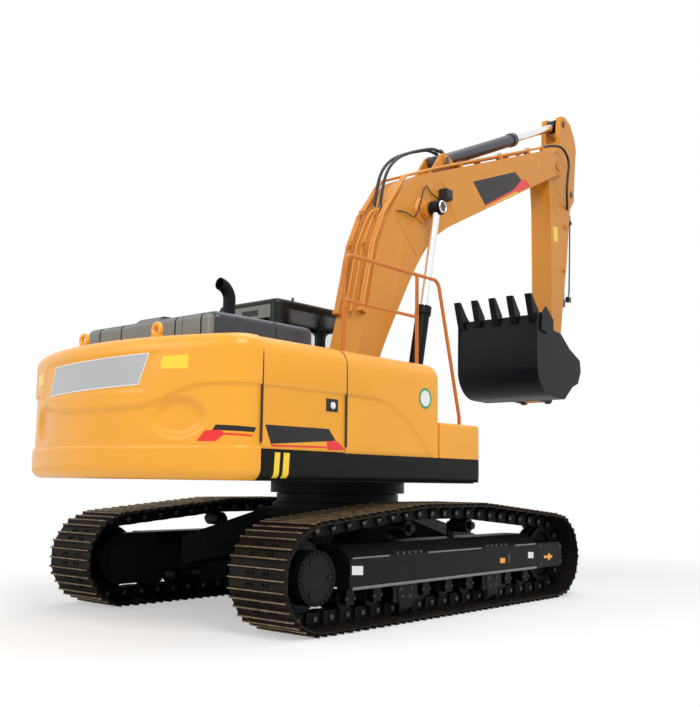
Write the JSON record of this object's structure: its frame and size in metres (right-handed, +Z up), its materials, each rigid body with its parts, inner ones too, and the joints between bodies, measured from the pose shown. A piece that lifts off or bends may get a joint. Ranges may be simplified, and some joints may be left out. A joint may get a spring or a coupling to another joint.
{
  "type": "crawler excavator",
  "caption": "Crawler excavator with a slewing upper body, tank and bay doors, bent boom, hanging arm and a toothed bucket worked by cylinders and links.",
  "frame": {"origin": "middle of the whole machine's length and width as parked, on the ground under the tracks", "axes": "+X to the front, along the boom; +Y to the machine's left, the cab's side; +Z up"},
  "size_m": [7.845, 2.98, 6.325],
  "materials": {
    "body_paint": "gloss orange-yellow paint",
    "arm_paint": "gloss ochre paint",
    "rail_paint": "gloss orange-brown paint",
    "black_paint": "satin black paint",
    "hood_paint": "satin blue-grey paint",
    "cab_paint": "satin dark grey paint",
    "shoe_steel": "bare and dusty rolled steel",
    "rod_chrome": "polished hard chrome",
    "engine_iron": "painted casting",
    "seat_cloth": "dark woven cloth",
    "window": "clear tinted glass",
    "lamp_plastic": "black lamp housing"
  },
  "bodies": {
    "undercarriage": {"centre_frame": "black_paint", "slew_ring": "black_paint", "track_frame_left": "black_paint", "track_left": "shoe_steel", "sprocket_left": "black_paint", "idler_left": "black_paint", "rollers_left": "black_paint", "track_frame_right": "black_paint", "track_right": "shoe_steel", "sprocket_right": "black_paint", "idler_right": "black_paint", "rollers_right": "black_paint"},
    "upper": {"deck_frame": "black_paint", "deck_skirts": "black_paint", "counterweight": "body_paint", "engine_cowl": "body_paint", "engine_block": "engine_iron", "hood_side": "hood_paint", "exhaust_stack": "black_paint", "fuel_tank": "body_paint", "left_body": "body_paint", "valve_cover": "hood_paint", "step_box": "body_paint", "cab_shell": "cab_paint", "cab_glass": "window", "operator_seat": "seat_cloth", "handrail": "rail_paint"},
    "hood_lid": {"engine_hood": "hood_paint"},
    "pump_bay_door": {"pump_door": "body_paint"},
    "cooling_bay_door": {"cooling_door": "body_paint"},
    "cab_door_leaf": {"cab_door": "cab_paint", "door_glass": "window"},
    "boom_body": {"boom": "arm_paint", "boom_pipes": "arm_paint", "work_lamp": "lamp_plastic"},
    "boom_barrels": {"boom_cylinder_barrels": "black_paint"},
    "boom_rods": {"boom_cylinder_rods": "rod_chrome"},
    "arm_body": {"arm": "arm_paint"},
    "arm_barrel": {"arm_cylinder_barrel": "black_paint"},
    "arm_rod": {"arm_cylinder_rod": "rod_chrome"},
    "bucket_body": {"bucket": "black_paint"},
    "bucket_barrel": {"bucket_cylinder_barrel": "black_paint"},
    "bucket_rod": {"bucket_cylinder_rod": "rod_chrome"},
    "rockers": {"rocker_links": "arm_paint"},
    "link": {"bucket_link": "arm_paint"}
  },
  "joints": [
    {"name": "slew", "type": "hinge", "parent": "undercarriage", "child": "upper", "pos_m": [-1.0225, 0, 0], "axis": [0, 0, 1], "continuous": true},
    {"name": "boom_lift", "type": "hinge", "parent": "upper", "child": "boom_body", "pos_m": [-1.0225, 0, 1.74], "axis": [0, -1, 0], "range_deg": [-85, 20]},
    {"name": "arm_swing", "type": "hinge", "parent": "boom_body", "child": "arm_body", "pos_m": [3.2575, 0, 5.49], "axis": [0, -1, 0], "range_deg": [-10, 95]},
    {"name": "bucket_curl", "type": "hinge", "parent": "arm_body", "child": "bucket_body", "pos_m": [3.1975, 0, 2.57], "axis": [0, -1, 0], "range_deg": [0, 165]},
    {"name": "boom_barrel_tilt", "type": "hinge", "parent": "upper", "child": "boom_barrels", "pos_m": [-0.4825, 0, 1.36], "axis": [0, -1, 0], "range_deg": [-89.3, 21.1]},
    {"name": "boom_rod_slide", "type": "slide", "parent": "boom_barrels", "child": "boom_rods", "axis": [0.2086, 0, 0.978], "range_m": [-0.822, 0.195]},
    {"name": "arm_barrel_tilt", "type": "hinge", "parent": "boom_body", "child": "arm_barrel", "pos_m": [0.6775, 0, 4.88], "axis": [0, -1, 0], "range_deg": [-0.5, 3.9]},
    {"name": "arm_rod_slide", "type": "slide", "parent": "arm_barrel", "child": "arm_rod", "axis": [0.908, 0, 0.4191], "range_m": [-1.127, 0.12]},
    {"name": "bucket_barrel_tilt", "type": "hinge", "parent": "arm_body", "child": "bucket_barrel", "pos_m": [3.7375, 0, 5.22], "axis": [0, -1, 0], "range_deg": [-2.1, 0.1]},
    {"name": "bucket_rod_slide", "type": "slide", "parent": "bucket_barrel", "child": "bucket_rod", "axis": [-0.066, 0, -0.9978], "range_m": [-0.958, 0.001]},
    {"name": "rocker_swing", "type": "hinge", "parent": "arm_body", "child": "rockers", "pos_m": [3.1375, 0, 2.98], "axis": [0, -1, 0], "range_deg": [0, 97.8]},
    {"name": "bucket_link_swing", "type": "hinge", "parent": "bucket_body", "child": "link", "pos_m": [2.9275, 0, 2.27], "axis": [0, -1, 0], "range_deg": [-97, 0]},
    {"name": "hood_lid_hinge", "type": "hinge", "parent": "upper", "child": "hood_lid", "pos_m": [-2.3525, 0.14, 2.196], "axis": [0, 1, 0], "range_deg": [0, 60]},
    {"name": "pump_door_hinge", "type": "hinge", "parent": "upper", "child": "pump_bay_door", "pos_m": [-3.3965, -1.36, 1.7], "axis": [0, 0, -1], "range_deg": [0, 100]},
    {"name": "cooling_door_hinge", "type": "hinge", "parent": "upper", "child": "cooling_bay_door", "pos_m": [-3.3965, 1.36, 1.7], "axis": [0, 0, 1], "range_deg": [0, 100]},
    {"name": "cab_door_hinge", "type": "hinge", "parent": "upper", "child": "cab_door_leaf", "pos_m": [-1.3065, 1.44, 2.1], "axis": [0, 0, 1], "range_deg": [0, 170]}
  ],
  "couplings": [
    {"joint": "boom_barrel_tilt", "follows": "boom_lift", "ratio": 1.05},
    {"joint": "boom_rod_slide", "follows": "boom_lift", "m_per_rad": 0.553},
    {"joint": "arm_barrel_tilt", "follows": "arm_swing", "ratio": 0.04},
    {"joint": "arm_rod_slide", "follows": "arm_swing", "m_per_rad": -0.679},
    {"joint": "bucket_barrel_tilt", "follows": "bucket_curl", "ratio": -0.0125},
    {"joint": "bucket_rod_slide", "follows": "bucket_curl", "m_per_rad": -0.332},
    {"joint": "rocker_swing", "follows": "bucket_curl", "ratio": 0.592},
    {"joint": "bucket_link_swing", "follows": "bucket_curl", "ratio": -0.587}
  ]
}
